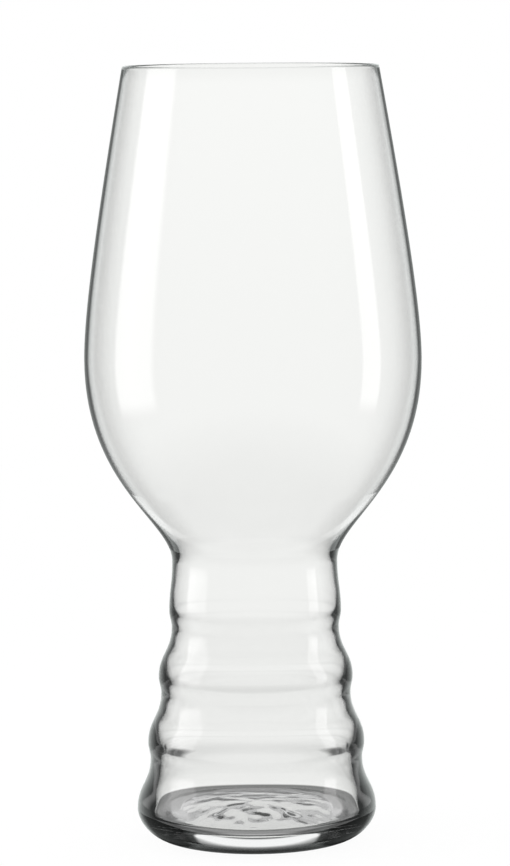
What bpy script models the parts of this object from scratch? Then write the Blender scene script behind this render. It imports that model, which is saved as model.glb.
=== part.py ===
"""IPA glass: an egg-shaped bowl on a hollow stem of three rings, which opens out into a thick foot.

The glass is one wall turned about Z. It is made as its three formed parts, bowl, ringed stem and foot,
which are fused face to face at two ring-shaped seams: one at the throat and one in the lowest groove.
Metres, +Z up. The foot rests on Z = 0 and every height is stacked up from there.
"""

from math import cos, pi, sin

import bpy
from mathutils import Vector
from mathutils.geometry import interpolate_bezier

MM = 0.001
OUTSIDE, INSIDE = 0, 1

# Foot
FOOT_RADIUS = 29.1 * MM
FOOT_HEIGHT = 7.5 * MM  # of its widest line
FOOT_CORNER = 8.6 * MM  # how far the rounded corner runs in to the resting ring
FOOT_WALL = 3.7 * MM
REST_WIDTH = 2.4 * MM
PUNT_RISE = 1.6 * MM
BASE_WALL = 4.2 * MM  # from the top of the punt to the edge of the inner floor
FLOOR_CORNER = 1.8 * MM  # height of the round between floor and wall
FLOOR_ROUND = 2.6 * MM  # and its width
FLOOR_DOME = 2.4 * MM  # how much the inner floor rises to its middle

# Rings of the stem, stacked up from the foot
RINGS = 3
RING_PITCH = 16.15 * MM
RING_STEP = 2.74 * MM  # each ring is this much smaller in radius than the one below
TOP_RING_WALL = 1.1 * MM
RING_WALL_STEP = 0.45 * MM  # each ring's wall is this much thinner than that of the ring below
GROOVE_DEPTH = 0.56 * MM
GROOVE_DROP = 3.8 * MM
GROOVE_WALL = 0.35 * MM  # more wall behind a groove than at its ring
INNER_LIFT = 1.5 * MM  # the rings sit this much higher inside
INNER_DROP = 0.5 * MM  # and the grooves this much lower

# Throat
THROAT_RISE = 12.3 * MM
THROAT_INSET = 0.83 * MM
THROAT_WALL = 1.3 * MM

# Bowl
BELLY_RISE = 48.9 * MM
BELLY_RADIUS = 40.75 * MM
BELLY_WALL = 1.1 * MM
RIM_RISE = 70.8 * MM
RIM_RADIUS = 30.9 * MM
RIM_WALL = 1.0 * MM
RIM_FLARE = 0.177  # widening of the bowl for each unit below the rim

# How far each curve runs straight on before it bends, as a share of its drop
RIM_PULL, BELLY_PULL_UP = 0.62, 0.13
BELLY_PULL_DOWN = 0.62
THROAT_PULL_UP = 0.2, 0.17  # outside and inside
FLANK_PULL_TOP, FLANK_PULL_LOW = 0.47, 0.43
GROOVE_PULL = 0.32
CORNER_PULL_SIDE, CORNER_PULL_BASE = 0.43, 0.57

# Fineness of the turned surfaces
SEGMENTS = 48
BOWL_STEPS = 9
FLANK_STEPS = 5
GROOVE_STEPS = 3
CORNER_STEPS = 5
FLOOR_STEPS = 6
LIP_STEPS = 4
SHARP_ANGLE = 0.7

GLASS_IOR = 1.52
GLASS_ROUGHNESS = 0.02

THROAT_HEIGHT = FOOT_HEIGHT + RINGS * RING_PITCH + THROAT_RISE
BELLY_HEIGHT = THROAT_HEIGHT + BELLY_RISE
RIM_HEIGHT = BELLY_HEIGHT + RIM_RISE
FLOOR_HEIGHT = PUNT_RISE + BASE_WALL
REST_RADIUS = FOOT_RADIUS - FOOT_CORNER


def point(radius, height):
    """A point of the turned profile."""
    return Vector((radius, 0.0, height))


def ring_wall(number):
    """Wall at a ring counted up from the foot, which is ring 0 and has the thickest wall."""
    if number == 0:
        return FOOT_WALL
    return TOP_RING_WALL + (RINGS - number) * RING_WALL_STEP


def rim(side):
    return point(RIM_RADIUS - side * RIM_WALL, RIM_HEIGHT - RIM_WALL / 2)


def belly(side):
    return point(BELLY_RADIUS - side * BELLY_WALL, BELLY_HEIGHT)


def throat(side):
    radius = FOOT_RADIUS - RINGS * RING_STEP - THROAT_INSET
    return point(radius - side * THROAT_WALL, THROAT_HEIGHT)


def ring(number, side):
    """The widest line of a ring, counted up from the foot, which is ring 0."""
    radius = FOOT_RADIUS - number * RING_STEP - side * ring_wall(number)
    return point(radius, FOOT_HEIGHT + number * RING_PITCH + side * INNER_LIFT)


def groove(number, side):
    """The narrowest line of the groove under a ring."""
    radius = FOOT_RADIUS - number * RING_STEP - GROOVE_DEPTH
    wall = ring_wall(number) + GROOVE_WALL
    height = FOOT_HEIGHT + number * RING_PITCH - GROOVE_DROP
    return point(radius - side * wall, height - side * INNER_DROP)


def fall(upper, lower, pull_upper, pull_lower, steps):
    """The points after upper, down to lower, on a curve that is upright at both ends."""
    drop = Vector((0.0, 0.0, upper.z - lower.z))
    line = interpolate_bezier(upper, upper - pull_upper * drop, lower + pull_lower * drop, lower, steps + 1)
    return line[1:]


def bowl_line(side):
    """The bowl's wall from rim to throat."""
    top, wide = rim(side), belly(side)
    reach = RIM_PULL * RIM_RISE
    widening = top + Vector((RIM_FLARE * reach, 0.0, -reach))
    upright = wide + Vector((0.0, 0.0, BELLY_PULL_UP * RIM_RISE))
    shoulder = interpolate_bezier(top, widening, upright, wide, BOWL_STEPS + 1)
    return shoulder + fall(wide, throat(side), BELLY_PULL_DOWN, THROAT_PULL_UP[side], BOWL_STEPS)


def stem_line(side):
    """The stem's wall from throat to lowest groove."""
    line = [throat(side)]
    for number in range(RINGS, 0, -1):
        wide, narrow = ring(number, side), groove(number, side)
        line += fall(line[-1], wide, FLANK_PULL_TOP, FLANK_PULL_LOW, FLANK_STEPS)
        line += fall(wide, narrow, GROOVE_PULL, GROOVE_PULL, GROOVE_STEPS)
    return line


def lip():
    """The fire-polished edge, from inside over to outside, without its two ends."""
    half = RIM_WALL / 2
    middle = point(RIM_RADIUS - half, RIM_HEIGHT - half)
    angles = [pi - pi * step / LIP_STEPS for step in range(1, LIP_STEPS)]
    return [middle + half * point(cos(angle), sin(angle)) for angle in angles]


def foot_outside():
    """From the lowest groove round the corner, over the resting ring and up the punt to the axis."""
    wide = ring(0, OUTSIDE)
    rest = point(REST_RADIUS, 0.0)
    side_pull = point(wide.x, wide.z * (1 - CORNER_PULL_SIDE))
    base_pull = point(REST_RADIUS + CORNER_PULL_BASE * FOOT_CORNER, 0.0)
    flank = fall(groove(1, OUTSIDE), wide, FLANK_PULL_TOP, FLANK_PULL_LOW, FLANK_STEPS)
    corner = interpolate_bezier(wide, side_pull, base_pull, rest, CORNER_STEPS + 1)
    punt_edge = point(REST_RADIUS - REST_WIDTH, 0.0)
    punt_shoulder = point(punt_edge.x / 2, PUNT_RISE)
    punt = interpolate_bezier(punt_edge, punt_edge, punt_shoulder, point(0.0, PUNT_RISE), CORNER_STEPS + 1)
    return [groove(1, OUTSIDE)] + flank + corner[1:] + punt


def foot_inside():
    """From the axis out over the floor, round its corner and up to the lowest groove."""
    wide = point(ring(0, INSIDE).x, FLOOR_HEIGHT + FLOOR_CORNER)
    edge = point(wide.x - FLOOR_ROUND, FLOOR_HEIGHT)
    middle = point(0.0, FLOOR_HEIGHT + FLOOR_DOME)
    slope = 2 * FLOOR_DOME / edge.x
    dome_pull = edge - edge.x / 3 * point(1.0, -slope)
    edge_pull = edge + CORNER_PULL_BASE * FLOOR_ROUND * point(1.0, -slope)
    corner_pull = point(wide.x, FLOOR_HEIGHT + FLOOR_CORNER * (1 - CORNER_PULL_SIDE))
    dome = interpolate_bezier(middle, point(edge.x / 3, middle.z), dome_pull, edge, FLOOR_STEPS + 1)
    corner = interpolate_bezier(edge, edge_pull, corner_pull, wide, CORNER_STEPS + 1)
    flank = fall(groove(1, INSIDE), wide, FLANK_PULL_TOP, FLANK_PULL_LOW, FLANK_STEPS)
    return dome + corner[1:] + flank[-2::-1] + [groove(1, INSIDE)]


def glass_material(name, colour):
    material = bpy.data.materials.new(name)
    material.use_nodes = True
    shader = material.node_tree.nodes["Principled BSDF"]
    shader.inputs["Base Color"].default_value = (*colour, 1.0)
    shader.inputs["Metallic"].default_value = 0.0
    shader.inputs["Roughness"].default_value = GLASS_ROUGHNESS
    shader.inputs["IOR"].default_value = GLASS_IOR
    shader.inputs["Transmission Weight"].default_value = 1.0
    material.diffuse_color = (*colour, 0.4)
    return material


def turned(name, profile, closed, colour, collection):
    """A solid of revolution about Z. A profile that isn't closed starts and ends on the axis."""
    last = len(profile) - 1
    edges = [(i, i + 1) for i in range(last)]
    if closed:
        edges.append((last, 0))
    mesh = bpy.data.meshes.new(name)
    mesh.from_pydata(profile, edges, [])
    solid = bpy.data.objects.new(name, mesh)
    solid.data.materials.append(glass_material(name + "_glass", colour))
    collection.objects.link(solid)
    screw = solid.modifiers.new("turn", "SCREW")
    screw.axis = "Z"
    screw.steps = screw.render_steps = SEGMENTS
    screw.use_merge_vertices = True
    screw.merge_threshold = 0.01 * MM
    bpy.context.view_layer.objects.active = solid
    bpy.ops.object.modifier_apply(modifier=screw.name)
    solid.data.shade_smooth()
    solid.data.set_sharp_from_angle(angle=SHARP_ANGLE)
    return solid


def main():
    for old in list(bpy.data.objects):
        bpy.data.objects.remove(old)
    glass = bpy.data.collections.new("ipa_glass")
    bpy.context.scene.collection.children.link(glass)
    bowl = bowl_line(OUTSIDE) + bowl_line(INSIDE)[::-1] + lip()
    stem = stem_line(OUTSIDE) + stem_line(INSIDE)[::-1]
    foot = foot_inside() + foot_outside()
    turned("bowl", bowl, True, (0.97, 0.98, 0.97), glass)
    turned("ringed_stem", stem, True, (0.93, 0.95, 0.94), glass)
    turned("foot", foot, False, (0.88, 0.91, 0.90), glass)


main()
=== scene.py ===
"""Studio scene of the IPA glass: one continuous clear glass body in a white room with two softboxes.

The body repeats the part's lines at full fineness, because light bends through every curve of the wall.
Screens close round it dim some of the light that leaves it, by the slant at which it leaves. This is
painted shade for the glass's dark edges and bands, in place of the dark flags round such a glass.
Named lengths are metres and named angles degrees. +Z is up, and the camera looks along +Y.
"""

from math import cos, hypot, pi, radians, sin, sqrt, tan

import bpy
from mathutils import Matrix, Vector, noise
from mathutils.geometry import interpolate_bezier


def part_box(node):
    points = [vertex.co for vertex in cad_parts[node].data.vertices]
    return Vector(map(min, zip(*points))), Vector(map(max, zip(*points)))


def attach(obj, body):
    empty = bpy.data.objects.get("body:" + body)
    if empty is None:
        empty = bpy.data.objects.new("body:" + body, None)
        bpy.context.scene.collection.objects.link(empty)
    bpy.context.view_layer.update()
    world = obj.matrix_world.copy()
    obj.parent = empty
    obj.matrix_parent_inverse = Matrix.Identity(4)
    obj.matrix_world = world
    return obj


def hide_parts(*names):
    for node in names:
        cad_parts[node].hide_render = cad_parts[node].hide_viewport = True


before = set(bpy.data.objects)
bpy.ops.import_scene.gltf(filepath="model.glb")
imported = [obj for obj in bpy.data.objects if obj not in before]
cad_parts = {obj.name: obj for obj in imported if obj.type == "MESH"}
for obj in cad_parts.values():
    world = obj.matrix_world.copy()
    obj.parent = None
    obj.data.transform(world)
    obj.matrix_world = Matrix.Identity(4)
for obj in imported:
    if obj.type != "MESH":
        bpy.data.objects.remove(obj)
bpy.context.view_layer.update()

MM = 0.001
OUTSIDE, INSIDE = 0, 1
IMAGE_HEIGHT = 866  # pixels

# Foot, as in the part
FOOT_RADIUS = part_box("foot")[1][0]
FOOT_HEIGHT = 7.5 * MM  # of its widest line
FOOT_CORNER = 8.6 * MM  # how far the rounded corner runs in to the resting ring
FOOT_WALL = 3.7 * MM
REST_WIDTH = 2.4 * MM
PUNT_RISE = 1.6 * MM
BASE_WALL = 4.2 * MM  # from the top of the punt to the edge of the inner floor
FLOOR_CORNER = 1.8 * MM  # height of the round between floor and wall
FLOOR_ROUND = 2.6 * MM  # and its width
FLOOR_DOME = 2.4 * MM  # how much the inner floor rises to its middle

# Rings of the stem, stacked up from the foot
RINGS = 3
RING_PITCH = 16.15 * MM
RING_STEP = 2.74 * MM  # each ring is this much smaller in radius than the one below
TOP_RING_WALL = 1.1 * MM
RING_WALL_STEP = 0.45 * MM  # each ring's wall is this much thinner than that of the ring below
GROOVE_DEPTH = 0.56 * MM
GROOVE_DROP = 3.8 * MM
GROOVE_WALL = 0.35 * MM  # more wall behind a groove than at its ring
INNER_LIFT = 1.5 * MM  # the rings sit this much higher inside
INNER_DROP = 0.5 * MM  # and the grooves this much lower

# Throat
THROAT_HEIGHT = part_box("ringed_stem")[1][2]
THROAT_INSET = 0.83 * MM
THROAT_WALL = 1.3 * MM

# Bowl
BELLY_RISE = 48.9 * MM
BELLY_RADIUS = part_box("bowl")[1][0]
BELLY_WALL = 1.1 * MM
RIM_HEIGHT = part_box("bowl")[1][2]
RIM_RADIUS = 30.9 * MM
RIM_WALL = 1.0 * MM
RIM_FLARE = 0.177  # widening of the bowl for each unit below the rim

# How far each curve runs straight on before it bends, as a share of its drop
RIM_PULL, BELLY_PULL_UP = 0.62, 0.13
BELLY_PULL_DOWN = 0.62
THROAT_PULL_UP = 0.2, 0.17  # outside and inside
FLANK_PULL_TOP, FLANK_PULL_LOW = 0.47, 0.43
GROOVE_PULL = 0.32
CORNER_PULL_SIDE, CORNER_PULL_BASE = 0.43, 0.57

# Fineness of the turned surface
SEGMENTS = 256
BOWL_STEPS = 40
FLANK_STEPS = 16
GROOVE_STEPS = 10
CORNER_STEPS = 16
LIP_STEPS = 10
FLOOR_STEPS = 40
MERGE_WITHIN = 0.01 * MM  # makes the points on the axis one

# Unevenness of the punt, left by the mould
UNEVEN_DEPTH = 0.3 * MM
UNEVEN_SIZE = 8.0 * MM  # over which it comes and goes
UNEVEN_LAYERS = 3
UNEVEN_FINER = 2.0  # each layer is finer than the one before by this factor
UNEVEN_SHALLOWER = 1.0  # power of that factor by which it is shallower too
UNEVEN_FADE = 4  # power of the radius with which it fades out towards the edge

# Glass
GLASS_IOR = 1.52
GLASS_TINT = (0.65, 0.8, 0.75)
GLASS_DENSITY = 1.0  # of absorption, per metre
ROUGHNESS_LEAST, ROUGHNESS_MOST = 0.0, 0.01
WAVE_SIZE = 14.0 * MM  # of the faint waviness of a blown wall
WAVE_STRENGTH = 0.01
WAVE_HEIGHT = 1.0 * MM
WAVE_DETAIL = 1.0

# Camera
CAMERA_DISTANCE = 1.0
CAMERA_SHIFT = 0.34 * MM  # sideways
RIM_SEEN_FROM = 1.0  # how steeply the camera looks down on the rim
CAMERA_TILT = 6.063
CAMERA_ROLL = 0.5
FOCAL_PIXELS = 4154.0
SENSOR = 36.0  # millimetres along the longer side of the image
NEAREST_SEEN = 0.01

# Light of the room, as pairs of the elevation's sine and a level. It is white where it is seen straight.
# Through the glass the backdrop darkens a little towards its foot: painted shade, seen only through the
# glass.
ROOM_THROUGH = ((-0.7, 1.0), (-0.4, 0.835), (-0.36, 0.86), (-0.3, 0.913), (-0.1, 0.942), (0.0, 1.0))
# Mirrored on the outside of the glass, the white table shows darker than the walls: painted shade in the
# reflection.
ROOM_MIRRORED = ((-1.0, 0.8), (-0.7, 0.95), (-0.1, 1.0))
# For light that has bounced inside the glass the room is dim high up and low down: painted shade for the
# glass's dark edges, which only the glass shows.
ROOM_BOUNCED = ((-0.8, 0.3), (-0.45, 1.0), (0.45, 1.0), (0.8, 0.1))
BACKDROP_TINT = (0.994, 1.0, 0.982)
WALL_TINT = (0.95, 1.0, 0.98)
WHITE = (1.0, 1.0, 1.0)

# Floor
FLOOR_HALF = 0.8
FLOOR_DROP = 0.5 * MM  # below the resting ring
FLOOR_GLOW = 0.95  # share of its brightness that a shadow leaves

# Screens close round the glass, which dim light that leaves it and so paint shade on the glass, as pairs of
# a measure and a level.
# A slant is 1 less the cosine of the angle to a line. It is 0 along the line and 1 square to it.
SCREEN_GAP = 0.4 * MM
EVEN_BLEND = 0.5  # at which Layer Weight gives the slant
EDGE_AT = 0.5  # what the slant to the side counts as where the wall stops showing what is behind it
COUNTED_BOUNCES = 10
NECK_END_STEPS = 5  # above the throat, where the stem's screen takes over
# Light mirrored on the outside, by slant to the side
BOWL_MIRRORED = (
    (0.18, 1.0), (0.28, 0.4), (0.34, 0.4), (0.4, 1.0),
    (0.46, 0.9), (0.5, 0.25), (0.7, 0.6), (0.85, 0.9))
NECK_MIRRORED = (
    (0.1, 1.0), (0.2, 0.4), (0.32, 0.4), (0.38, 1.0),
    (0.48, 1.0), (0.53, 0.25), (0.7, 0.6), (0.85, 0.9))
STEM_MIRRORED = (
    (0.04, 0.7), (0.14, 1.0), (0.2, 1.0), (0.28, 0.5),
    (0.46, 0.25), (0.52, 0.5), (0.6, 0.75), (0.7, 0.95))
FOOT_MIRRORED = ((0.2, 1.0), (0.26, 0.2), (0.6, 0.2), (0.75, 0.9))
# Light mirrored on the outside, by height as a share of the foot's
LOW_MIRRORED = ((0.1, 0.2), (0.25, 1.0))
# Light that has bounced inside the glass, by slant to the side
BOWL_BOUNCED = (
    (0.05, 0.6), (0.2, 0.35), (0.33, 0.35), (0.4, 0.45),
    (0.44, 0.45), (0.5, 0.02), (0.56, 0.02), (0.7, 0.12))
NECK_BOUNCED = (
    (0.0, 0.9), (0.2, 0.35), (0.3, 0.35), (0.36, 1.0),
    (0.47, 1.0), (0.52, 0.02), (0.58, 0.02), (0.7, 0.12))
STEM_BOUNCED = ((0.05, 0.56), (0.44, 0.45), (0.5, 0.01), (0.56, 0.01), (0.62, 0.1), (0.7, 0.2))
# Light that has bounced inside the glass, by slant to the normal of the wall
FOOT_BOUNCED = (
    (0.05, 0.4), (0.08, 0.12), (0.1, 0.12), (0.17, 0.95),
    (0.35, 1.0), (0.4, 0.35), (0.46, 0.1), (0.6, 0.03))
EDGE_BOUNCED = ((0.2, 0.1), (0.25, 0.9), (0.38, 0.9), (0.48, 0.15))
BASE_BOUNCED = ((0.0, 0.15), (1.0, 0.15))
# Light that has bounced inside the glass, by slant to a line straight out from the axis
FOOT_ASIDE = ((0.145, 1.0), (0.165, 0.02))
# Light that has bounced inside the glass, by the number of bounces
FOOT_BOUNCES = ((1 / COUNTED_BOUNCES, 1.0), (2 / COUNTED_BOUNCES, 0.05))
# Light straight through: by slant to the normal of the wall, by height as a share of the foot's, and by
# slant to a line straight down
BASE_THROUGH = ((0.5, 1.0), (0.75, 0.85))
FOOT_THROUGH = ((0.6, 0.2), (0.72, 1.0))
RING_THROUGH = ((0.62, 0.84), (0.8, 1.0))
# Light straight through the foot's flank, dimmed where it is both steep and aside: by slant to a line
# straight down and by slant to a line straight out from the axis. The lighter of the two levels counts.
STEEP = ((0.3, 1.0), (0.36, 0.08), (0.51, 0.08), (0.58, 1.0))
BESIDE = ((0.2, 1.0), (0.28, 0.08))
AS_IT_IS = ((0.0, 0.0), (1.0, 1.0))  # for a measure that is a level already

# Softboxes: from and to an angle off the camera's direction, positive to the right
BOX_DISTANCE = 0.28
BOX_ANGLES = {"left": (-103.3, -64.3), "right": (73.0, 91.7)}
BOX_BOTTOM, BOX_TOP = 0.01, 0.35
BOX_LIGHT = 3.0
BOX_SOFT_SIDE, BOX_SOFT_END = 0.15, 0.12  # share of the width and height that fades out

BELLY_HEIGHT = THROAT_HEIGHT + BELLY_RISE
RIM_RISE = RIM_HEIGHT - BELLY_HEIGHT
FLOOR_HEIGHT = PUNT_RISE + BASE_WALL
REST_RADIUS = FOOT_RADIUS - FOOT_CORNER


def point(radius, height):
    """A point of the turned profile."""
    return Vector((radius, 0.0, height))


def ring_wall(number):
    """Wall at a ring counted up from the foot, which is ring 0 and has the thickest wall."""
    if number == 0:
        return FOOT_WALL
    return TOP_RING_WALL + (RINGS - number) * RING_WALL_STEP


def rim(side):
    """Where the lip begins."""
    return point(RIM_RADIUS - side * RIM_WALL, RIM_HEIGHT - RIM_WALL / 2)


def belly(side):
    """The widest line of the bowl."""
    return point(BELLY_RADIUS - side * BELLY_WALL, BELLY_HEIGHT)


def throat(side):
    """The narrowest line between bowl and stem."""
    radius = FOOT_RADIUS - RINGS * RING_STEP - THROAT_INSET
    return point(radius - side * THROAT_WALL, THROAT_HEIGHT)


def ring(number, side):
    """The widest line of a ring, counted up from the foot, which is ring 0."""
    radius = FOOT_RADIUS - number * RING_STEP - side * ring_wall(number)
    return point(radius, FOOT_HEIGHT + number * RING_PITCH + side * INNER_LIFT)


def groove(number, side):
    """The narrowest line of the groove under a ring."""
    radius = FOOT_RADIUS - number * RING_STEP - GROOVE_DEPTH
    wall = ring_wall(number) + GROOVE_WALL
    height = FOOT_HEIGHT + number * RING_PITCH - GROOVE_DROP
    return point(radius - side * wall, height - side * INNER_DROP)


def fall(upper, lower, pull_upper, pull_lower, steps):
    """The points after upper, down to lower, on a curve that is upright at both ends."""
    drop = Vector((0.0, 0.0, upper.z - lower.z))
    line = interpolate_bezier(upper, upper - pull_upper * drop, lower + pull_lower * drop, lower, steps + 1)
    return line[1:]


def bowl_line(side):
    """The bowl's wall from rim to throat."""
    top, wide = rim(side), belly(side)
    reach = RIM_PULL * RIM_RISE
    widening = top + Vector((RIM_FLARE * reach, 0.0, -reach))
    upright = wide + Vector((0.0, 0.0, BELLY_PULL_UP * RIM_RISE))
    shoulder = interpolate_bezier(top, widening, upright, wide, BOWL_STEPS + 1)
    return shoulder + fall(wide, throat(side), BELLY_PULL_DOWN, THROAT_PULL_UP[side], BOWL_STEPS)


def stem_line(side):
    """The stem's wall from below the throat to the lowest groove."""
    upper, line = throat(side), []
    for number in range(RINGS, 0, -1):
        wide, narrow = ring(number, side), groove(number, side)
        line += fall(upper, wide, FLANK_PULL_TOP, FLANK_PULL_LOW, FLANK_STEPS)
        line += fall(wide, narrow, GROOVE_PULL, GROOVE_PULL, GROOVE_STEPS)
        upper = narrow
    return line


def lip():
    """The fire-polished edge, from inside over to outside, without its two ends."""
    half = RIM_WALL / 2
    middle = point(RIM_RADIUS - half, RIM_HEIGHT - half)
    angles = [pi - pi * step / LIP_STEPS for step in range(1, LIP_STEPS)]
    return [middle + half * point(cos(angle), sin(angle)) for angle in angles]


def foot_outside():
    """From below the lowest groove round the corner, over the resting ring and up the punt to the axis."""
    wide = ring(0, OUTSIDE)
    rest = point(REST_RADIUS, 0.0)
    side_pull = point(wide.x, wide.z * (1 - CORNER_PULL_SIDE))
    base_pull = point(REST_RADIUS + CORNER_PULL_BASE * FOOT_CORNER, 0.0)
    flank = fall(groove(1, OUTSIDE), wide, FLANK_PULL_TOP, FLANK_PULL_LOW, FLANK_STEPS)
    corner = interpolate_bezier(wide, side_pull, base_pull, rest, CORNER_STEPS + 1)
    punt_edge = point(REST_RADIUS - REST_WIDTH, 0.0)
    punt_shoulder = point(punt_edge.x / 2, PUNT_RISE)
    punt = interpolate_bezier(punt_edge, punt_edge, punt_shoulder, point(0.0, PUNT_RISE), FLOOR_STEPS + 1)
    return flank + corner[1:] + punt


def foot_inside():
    """From below the lowest groove down, round the corner and in over the floor to the axis."""
    wide = point(ring(0, INSIDE).x, FLOOR_HEIGHT + FLOOR_CORNER)
    edge = point(wide.x - FLOOR_ROUND, FLOOR_HEIGHT)
    middle = point(0.0, FLOOR_HEIGHT + FLOOR_DOME)
    slope = 2 * FLOOR_DOME / edge.x
    corner_pull = point(wide.x, FLOOR_HEIGHT + FLOOR_CORNER * (1 - CORNER_PULL_SIDE))
    edge_pull = edge + CORNER_PULL_BASE * FLOOR_ROUND * point(1.0, -slope)
    dome_pull = edge - edge.x / 3 * point(1.0, -slope)
    flank = fall(groove(1, INSIDE), wide, FLANK_PULL_TOP, FLANK_PULL_LOW, FLANK_STEPS)
    corner = interpolate_bezier(wide, corner_pull, edge_pull, edge, CORNER_STEPS + 1)
    dome = interpolate_bezier(edge, dome_pull, point(edge.x / 3, middle.z), middle, FLOOR_STEPS + 1)
    return flank + corner[1:] + dome[1:]


def uneven_punt(mesh):
    """Makes the punt uneven, less so towards its edge."""
    edge = REST_RADIUS - REST_WIDTH
    for vertex in mesh.vertices:
        radius = hypot(vertex.co.x, vertex.co.y)
        if radius < edge and vertex.co.z <= PUNT_RISE:
            share = 1 - (radius / edge) ** UNEVEN_FADE
            place = vertex.co / UNEVEN_SIZE
            rise = noise.fractal(place, UNEVEN_SHALLOWER, UNEVEN_FINER, UNEVEN_LAYERS)
            vertex.co.z += UNEVEN_DEPTH * share * rise


def turned(name, profile):
    """A surface turned about Z from a profile."""
    mesh = bpy.data.meshes.new(name)
    edges = [(index, index + 1) for index in range(len(profile) - 1)]
    mesh.from_pydata(profile, edges, [])
    surface = bpy.data.objects.new(name, mesh)
    bpy.context.scene.collection.objects.link(surface)
    screw = surface.modifiers.new("turn", "SCREW")
    screw.axis = "Z"
    screw.steps = screw.render_steps = SEGMENTS
    screw.use_merge_vertices = True
    screw.merge_threshold = MERGE_WITHIN
    bpy.context.view_layer.objects.active = surface
    bpy.ops.object.modifier_apply(modifier=screw.name)
    surface.data.shade_smooth()
    return surface


def glass_body():
    """The whole wall: up the inside, over the lip and down the outside."""
    outer = bowl_line(OUTSIDE) + stem_line(OUTSIDE) + foot_outside()
    inner = bowl_line(INSIDE) + stem_line(INSIDE) + foot_inside()
    glass = turned("glass", inner[::-1] + lip() + outer)
    uneven_punt(glass.data)
    return glass


def add(tree, kind, inputs, **settings):
    """A new shader node. An input takes either a number or colour, or the socket to link to it."""
    node = tree.nodes.new("ShaderNode" + kind)
    for name, value in settings.items():
        setattr(node, name, value)
    for name, value in inputs.items():
        if isinstance(value, bpy.types.NodeSocket):
            tree.links.new(value, node.inputs[name])
        else:
            node.inputs[name].default_value = value
    return node


def new_material(name):
    """A material without nodes but its output."""
    material = bpy.data.materials.new(name)
    material.use_nodes = True
    material.node_tree.nodes.clear()
    output = material.node_tree.nodes.new("ShaderNodeOutputMaterial")
    return material, material.node_tree, output


def glass_material():
    """Clear glass with a faint grey-green body colour, a faintly wavy wall and a trace of haze."""
    material, tree, output = new_material("clear_glass")
    place = add(tree, "TexCoord", {}).outputs["Object"]
    waves = add(tree, "TexNoise", {"Vector": place, "Scale": 1 / WAVE_SIZE, "Detail": WAVE_DETAIL})
    bump = add(tree, "Bump", {
        "Height": waves.outputs["Fac"], "Strength": WAVE_STRENGTH, "Distance": WAVE_HEIGHT})
    haze = add(tree, "MapRange", {
        "Value": waves.outputs["Fac"], "To Min": ROUGHNESS_LEAST, "To Max": ROUGHNESS_MOST})
    shader = add(tree, "BsdfPrincipled", {
        "Base Color": (*WHITE, 1.0), "Transmission Weight": 1.0, "IOR": GLASS_IOR,
        "Roughness": haze.outputs["Result"], "Normal": bump.outputs["Normal"]})
    body = add(tree, "VolumeAbsorption", {"Color": (*GLASS_TINT, 1.0), "Density": GLASS_DENSITY})
    tree.links.new(shader.outputs["BSDF"], output.inputs["Surface"])
    tree.links.new(body.outputs["Volume"], output.inputs["Volume"])
    return material


def levels(tree, value, stops, tint=WHITE):
    """A level of a tint that goes from stop to stop with a value."""
    ramp = add(tree, "ValToRGB", {"Fac": value})
    elements = ramp.color_ramp.elements
    while len(elements) < len(stops):
        elements.new(1.0)
    for element, (place, level) in zip(elements, stops):
        element.position = place
        element.color = (*(level * share for share in tint), 1.0)
    return ramp.outputs["Color"]


def by_elevation(tree, rise, stops, tint):
    """A level of a tint that goes from stop to stop with the sine of the elevation."""
    share = add(tree, "MapRange", {"Value": rise, "From Min": -1.0}).outputs["Result"]
    return levels(tree, share, [((sine + 1) / 2, level) for sine, level in stops], tint)


def blend(tree, factor, first, second):
    """A colour that goes from the first to the second while a factor goes from 0 to 1."""
    return add(tree, "MixRGB", {"Fac": factor, "Color1": first, "Color2": second}).outputs["Color"]


def white_room():
    """White all round, apart from the painted shade that the glass shows in it."""
    world = bpy.data.worlds.new("white_room")
    bpy.context.scene.world = world
    world.use_nodes = True
    tree = world.node_tree
    path = add(tree, "LightPath", {})
    direction = add(tree, "TexCoord", {}).outputs["Generated"]
    rise = add(tree, "SeparateXYZ", {"Vector": direction}).outputs["Z"]
    through = by_elevation(tree, rise, ROOM_THROUGH, BACKDROP_TINT)
    mirrored = by_elevation(tree, rise, ROOM_MIRRORED, WALL_TINT)
    bounced = by_elevation(tree, rise, ROOM_BOUNCED, WHITE)
    passed = path.outputs["Transmission Depth"]
    straight = blend(tree, passed, (*WHITE, 1.0), through)
    turned_back = blend(tree, passed, mirrored, bounced)
    light = blend(tree, path.outputs["Glossy Depth"], straight, turned_back)
    tree.links.new(light, tree.nodes["Background"].inputs["Color"])


def card(name, width, height, place, target, material):
    """A flat panel that faces a target."""
    mesh = bpy.data.meshes.new(name)
    right, top = width / 2, height / 2
    corners = [(-right, -top, 0), (right, -top, 0), (right, top, 0), (-right, top, 0)]
    mesh.from_pydata(corners, [], [(0, 1, 2, 3)])
    mesh.materials.append(material)
    panel = bpy.data.objects.new(name, mesh)
    bpy.context.scene.collection.objects.link(panel)
    turn = (target - place).to_track_quat("Z", "Y")
    panel.matrix_world = Matrix.Translation(place) @ turn.to_matrix().to_4x4()
    return panel


def floor_material():
    """White, and a little darker where the glass keeps light off."""
    material, tree, output = new_material("floor")
    glow = add(tree, "Emission", {})
    matt = add(tree, "BsdfDiffuse", {"Color": (*WHITE, 1.0)})
    both = add(tree, "MixShader", {0: FLOOR_GLOW, 1: matt.outputs["BSDF"], 2: glow.outputs["Emission"]})
    tree.links.new(both.outputs["Shader"], output.inputs["Surface"])
    return material


def floor():
    """The table, seen by the camera alone. The glass shows the room in its place."""
    place = Vector((0.0, 0.0, -FLOOR_DROP))
    panel = card("floor", 2 * FLOOR_HALF, 2 * FLOOR_HALF, place, Vector((0.0, 0.0, 1.0)), floor_material())
    panel.visible_glossy = False
    panel.visible_transmission = False


def edge_slant(outside, inside):
    """The slant at which the wall stops showing what is behind it, from an outer and an inner point."""
    return 1 - sqrt(1 - (inside.x / outside.x) ** 2)


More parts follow.
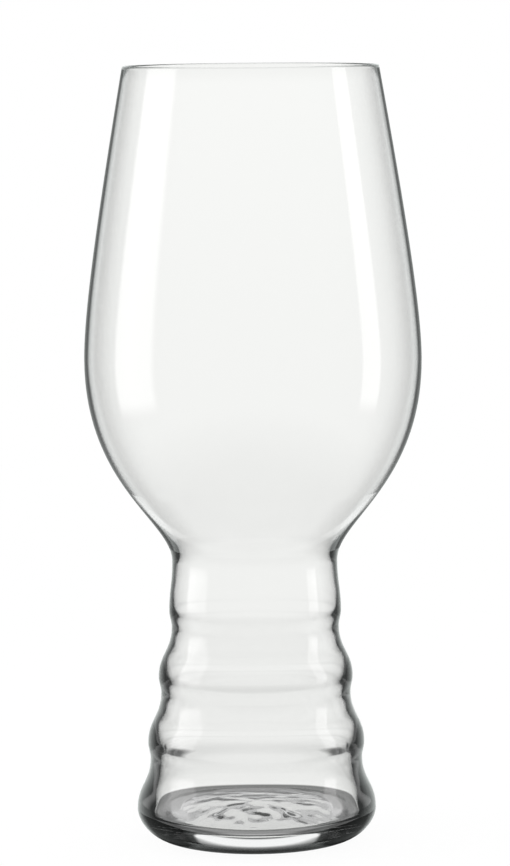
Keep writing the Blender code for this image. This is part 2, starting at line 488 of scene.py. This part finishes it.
def widths(side):
    """The wall's wide and narrow lines from foot to belly."""
    lines = [ring(0, side)]
    for number in range(1, RINGS + 1):
        lines += [groove(number, side), ring(number, side)]
    return lines + [throat(side), belly(side)]


def edge_by_height(tree):
    """The slant at which the wall stops showing what is behind it, by height from foot to belly."""
    outer, inner = widths(OUTSIDE), widths(INSIDE)
    position = add(tree, "NewGeometry", {}).outputs["Position"]
    height = add(tree, "SeparateXYZ", {"Vector": position}).outputs["Z"]
    share = add(tree, "Math", {0: height, 1: BELLY_HEIGHT}, operation="DIVIDE")
    stops = [(place.z / BELLY_HEIGHT, edge_slant(place, inside)) for place, inside in zip(outer, inner)]
    return levels(tree, share.outputs[0], stops)


def to_wall(tree):
    """The slant to the normal of the wall."""
    return add(tree, "LayerWeight", {"Blend": EVEN_BLEND}).outputs["Facing"]


def to_side(tree):
    """The part of that slant which isn't due to the slope of the wall, with the edge's own at EDGE_AT."""
    normal = add(tree, "NewGeometry", {}).outputs["Normal"]
    level = add(tree, "VectorMath", {0: normal, 1: (1.0, 1.0, 0.0)}, operation="MULTIPLY")
    upright = add(tree, "VectorMath", {0: level.outputs[0]}, operation="LENGTH").outputs["Value"]
    square = add(tree, "Math", {0: 1.0, 1: to_wall(tree)}, operation="SUBTRACT")
    share = add(tree, "Math", {0: square.outputs[0], 1: upright}, operation="DIVIDE")
    slant = add(tree, "Math", {0: 1 + EDGE_AT, 1: share.outputs[0]}, operation="SUBTRACT")
    edge = edge_by_height(tree)
    return add(tree, "Math", {0: slant.outputs[0], 1: edge}, operation="SUBTRACT").outputs[0]


def aside(tree):
    """The slant to a line straight out from the axis."""
    place = add(tree, "NewGeometry", {}).outputs["Position"]
    level = add(tree, "VectorMath", {0: place, 1: (1.0, 1.0, 0.0)}, operation="MULTIPLY")
    outward = add(tree, "VectorMath", {0: level.outputs[0]}, operation="NORMALIZE")
    return add(tree, "LayerWeight", {"Blend": EVEN_BLEND, "Normal": outward.outputs[0]}).outputs["Facing"]


def to_upright(tree):
    """The slant to a line straight down."""
    upward = add(tree, "CombineXYZ", {"Z": 1.0}).outputs[0]
    return add(tree, "LayerWeight", {"Blend": EVEN_BLEND, "Normal": upward}).outputs["Facing"]


def steep_and_aside(tree):
    """The lighter of the levels for steep light and for light that leaves aside."""
    steep = levels(tree, to_upright(tree), STEEP)
    beside = levels(tree, aside(tree), BESIDE)
    return add(tree, "Math", {0: steep, 1: beside}, operation="MAXIMUM").outputs[0]


def bounces(tree):
    """How often the glass has turned the light back, as a share of the bounces that are counted."""
    count = add(tree, "LightPath", {}).outputs["Glossy Depth"]
    return add(tree, "Math", {0: count, 1: COUNTED_BOUNCES}, operation="DIVIDE").outputs[0]


def up_foot(tree):
    """The height as a share of the foot's."""
    place = add(tree, "NewGeometry", {}).outputs["Position"]
    height = add(tree, "SeparateXYZ", {"Vector": place}).outputs["Z"]
    return add(tree, "Math", {0: height, 1: FOOT_HEIGHT}, operation="DIVIDE").outputs[0]


def product(tree, shares):
    """The product of the levels that several measures give, or white without a measure."""
    level = (*WHITE, 1.0)
    for measure, stops in shares.items():
        factors = {"Fac": 1.0, "Color1": level, "Color2": levels(tree, measure(tree), stops)}
        level = add(tree, "MixRGB", factors, blend_type="MULTIPLY").outputs["Color"]
    return level


def painted_shade_material(name, mirrored, bounced, through):
    """Painted shade: dims light from the glass by its slant, most of all light that the glass turns back.
    """
    material, tree, output = new_material(name)
    path = add(tree, "LightPath", {})
    outside, inside, straight = (product(tree, shares) for shares in (mirrored, bounced, through))
    turned_back = blend(tree, path.outputs["Transmission Depth"], outside, inside)
    share = blend(tree, path.outputs["Glossy Depth"], straight, turned_back)
    # painted shade: a clear sheet that darkens the light leaving the glass
    painted_shade = add(tree, "BsdfTransparent", {"Color": share})
    tree.links.new(painted_shade.outputs["BSDF"], output.inputs["Surface"])
    return material


def screen(name, wall, mirrored, bounced, through):
    """A screen that follows the outside of the wall, a gap further out and half a gap lower.

    Only light from the glass sees it, and it paints shade on the glass.
    """
    gap = point(SCREEN_GAP, -SCREEN_GAP / 2)
    shell = turned(name, [place + gap for place in wall])
    shell.data.materials.append(painted_shade_material(name, mirrored, bounced, through))
    shell.visible_camera = False
    shell.visible_diffuse = False
    shell.visible_shadow = False


def bowl_screens():
    """Screens of painted shade down the bowl and its neck to just above the throat. The stem's screen goes
    on from there.
    """
    line = bowl_line(OUTSIDE)
    neck = BOWL_STEPS + BOWL_STEPS // 2  # half way down from the belly
    end = len(line) - NECK_END_STEPS
    screen("bowl_painted_shade", line[:neck + 1], {to_side: BOWL_MIRRORED}, {to_side: BOWL_BOUNCED}, {})
    screen("neck_painted_shade", line[neck:end + 1], {to_side: NECK_MIRRORED}, {to_side: NECK_BOUNCED}, {})
    return line[end:]


def foot_screens(above):
    """Screens of painted shade down the stem and the foot's flank, round its corner to the resting ring,
    and under the punt.
    """
    foot = foot_outside()
    flank_end = FLANK_STEPS - 1
    rest = FLANK_STEPS + CORNER_STEPS  # the inner edge of the resting ring
    turn = (flank_end + rest) // 2
    stem = above + stem_line(OUTSIDE)
    flank = stem[-1:] + foot[:flank_end + 1]
    base = [foot[rest], point(-SCREEN_GAP, 0.0)]  # which the gap brings to the axis
    mirrored, bounced = {to_side: STEM_MIRRORED}, {to_side: STEM_BOUNCED}
    screen("stem_painted_shade", stem, mirrored, bounced, {to_upright: RING_THROUGH})
    screen("flank_painted_shade", flank, mirrored, bounced, {steep_and_aside: AS_IT_IS})
    mirrored, through = {to_side: FOOT_MIRRORED, up_foot: LOW_MIRRORED}, {up_foot: FOOT_THROUGH}
    bounced = {to_wall: FOOT_BOUNCED, aside: FOOT_ASIDE, bounces: FOOT_BOUNCES}
    screen("foot_painted_shade", foot[flank_end:turn + 1], mirrored, bounced, through)
    screen("edge_painted_shade", foot[turn:rest + 1], mirrored, {to_wall: EDGE_BOUNCED}, through)
    screen("base_painted_shade", base, mirrored, {to_wall: BASE_BOUNCED}, {to_wall: BASE_THROUGH})


def box_material(name):
    """A softbox's light, which fades out to the room's white along all four edges."""
    material, tree, output = new_material(name)
    place = add(tree, "TexCoord", {}).outputs["Generated"]
    across = add(tree, "SeparateXYZ", {"Vector": place})
    shares = []
    for axis, soft in (("X", BOX_SOFT_SIDE), ("Y", BOX_SOFT_END)):
        inward = add(tree, "Math", {0: across.outputs[axis], 1: 1 / 2}, operation="PINGPONG")
        fade = {"Value": inward.outputs[0], "From Max": soft}
        shares.append(add(tree, "MapRange", fade, interpolation_type="SMOOTHSTEP").outputs["Result"])
    share = add(tree, "Math", {0: shares[0], 1: shares[1]}, operation="MULTIPLY")
    light = add(tree, "MapRange", {"Value": share.outputs[0], "To Min": 1.0, "To Max": BOX_LIGHT})
    glow = add(tree, "Emission", {"Strength": light.outputs["Result"]})
    tree.links.new(glow.outputs["Emission"], output.inputs["Surface"])
    return material


def softbox(side, angles):
    """An upright softbox beside the glass, seen only as its mirror image on the outside."""
    turns = [radians(angle) for angle in angles]
    ends = [BOX_DISTANCE * Vector((sin(turn), -cos(turn), 0.0)) for turn in turns]
    place = (ends[0] + ends[1]) / 2
    place.z = (BOX_BOTTOM + BOX_TOP) / 2
    name = side + "_softbox"
    width = (ends[1] - ends[0]).length
    target = Vector((0.0, 0.0, place.z))
    panel = card(name, width, BOX_TOP - BOX_BOTTOM, place, target, box_material(name))
    panel.visible_camera = False
    panel.visible_transmission = False


def camera():
    """The photograph's view."""
    lens = bpy.data.cameras.new("camera")
    lens.sensor_fit = "AUTO"
    lens.sensor_width = SENSOR
    lens.lens = FOCAL_PIXELS * SENSOR / IMAGE_HEIGHT
    lens.clip_start = NEAREST_SEEN
    viewer = bpy.data.objects.new("camera", lens)
    bpy.context.scene.collection.objects.link(viewer)
    height = RIM_HEIGHT + CAMERA_DISTANCE * tan(radians(RIM_SEEN_FROM))
    place = Matrix.Translation((CAMERA_SHIFT, -CAMERA_DISTANCE, height))
    tilt = Matrix.Rotation(radians(90 - CAMERA_TILT), 4, "X")
    roll = Matrix.Rotation(radians(-CAMERA_ROLL), 4, "Z")
    viewer.matrix_world = place @ tilt @ roll
    bpy.context.scene.camera = viewer


def main():
    bpy.context.scene.view_settings.view_transform = "Standard"
    glass = glass_body()
    glass.data.materials.append(glass_material())
    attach(glass, "root")
    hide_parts("bowl", "ringed_stem", "foot")
    white_room()
    floor()
    foot_screens(bowl_screens())
    for side, angles in BOX_ANGLES.items():
        softbox(side, angles)
    camera()


main()
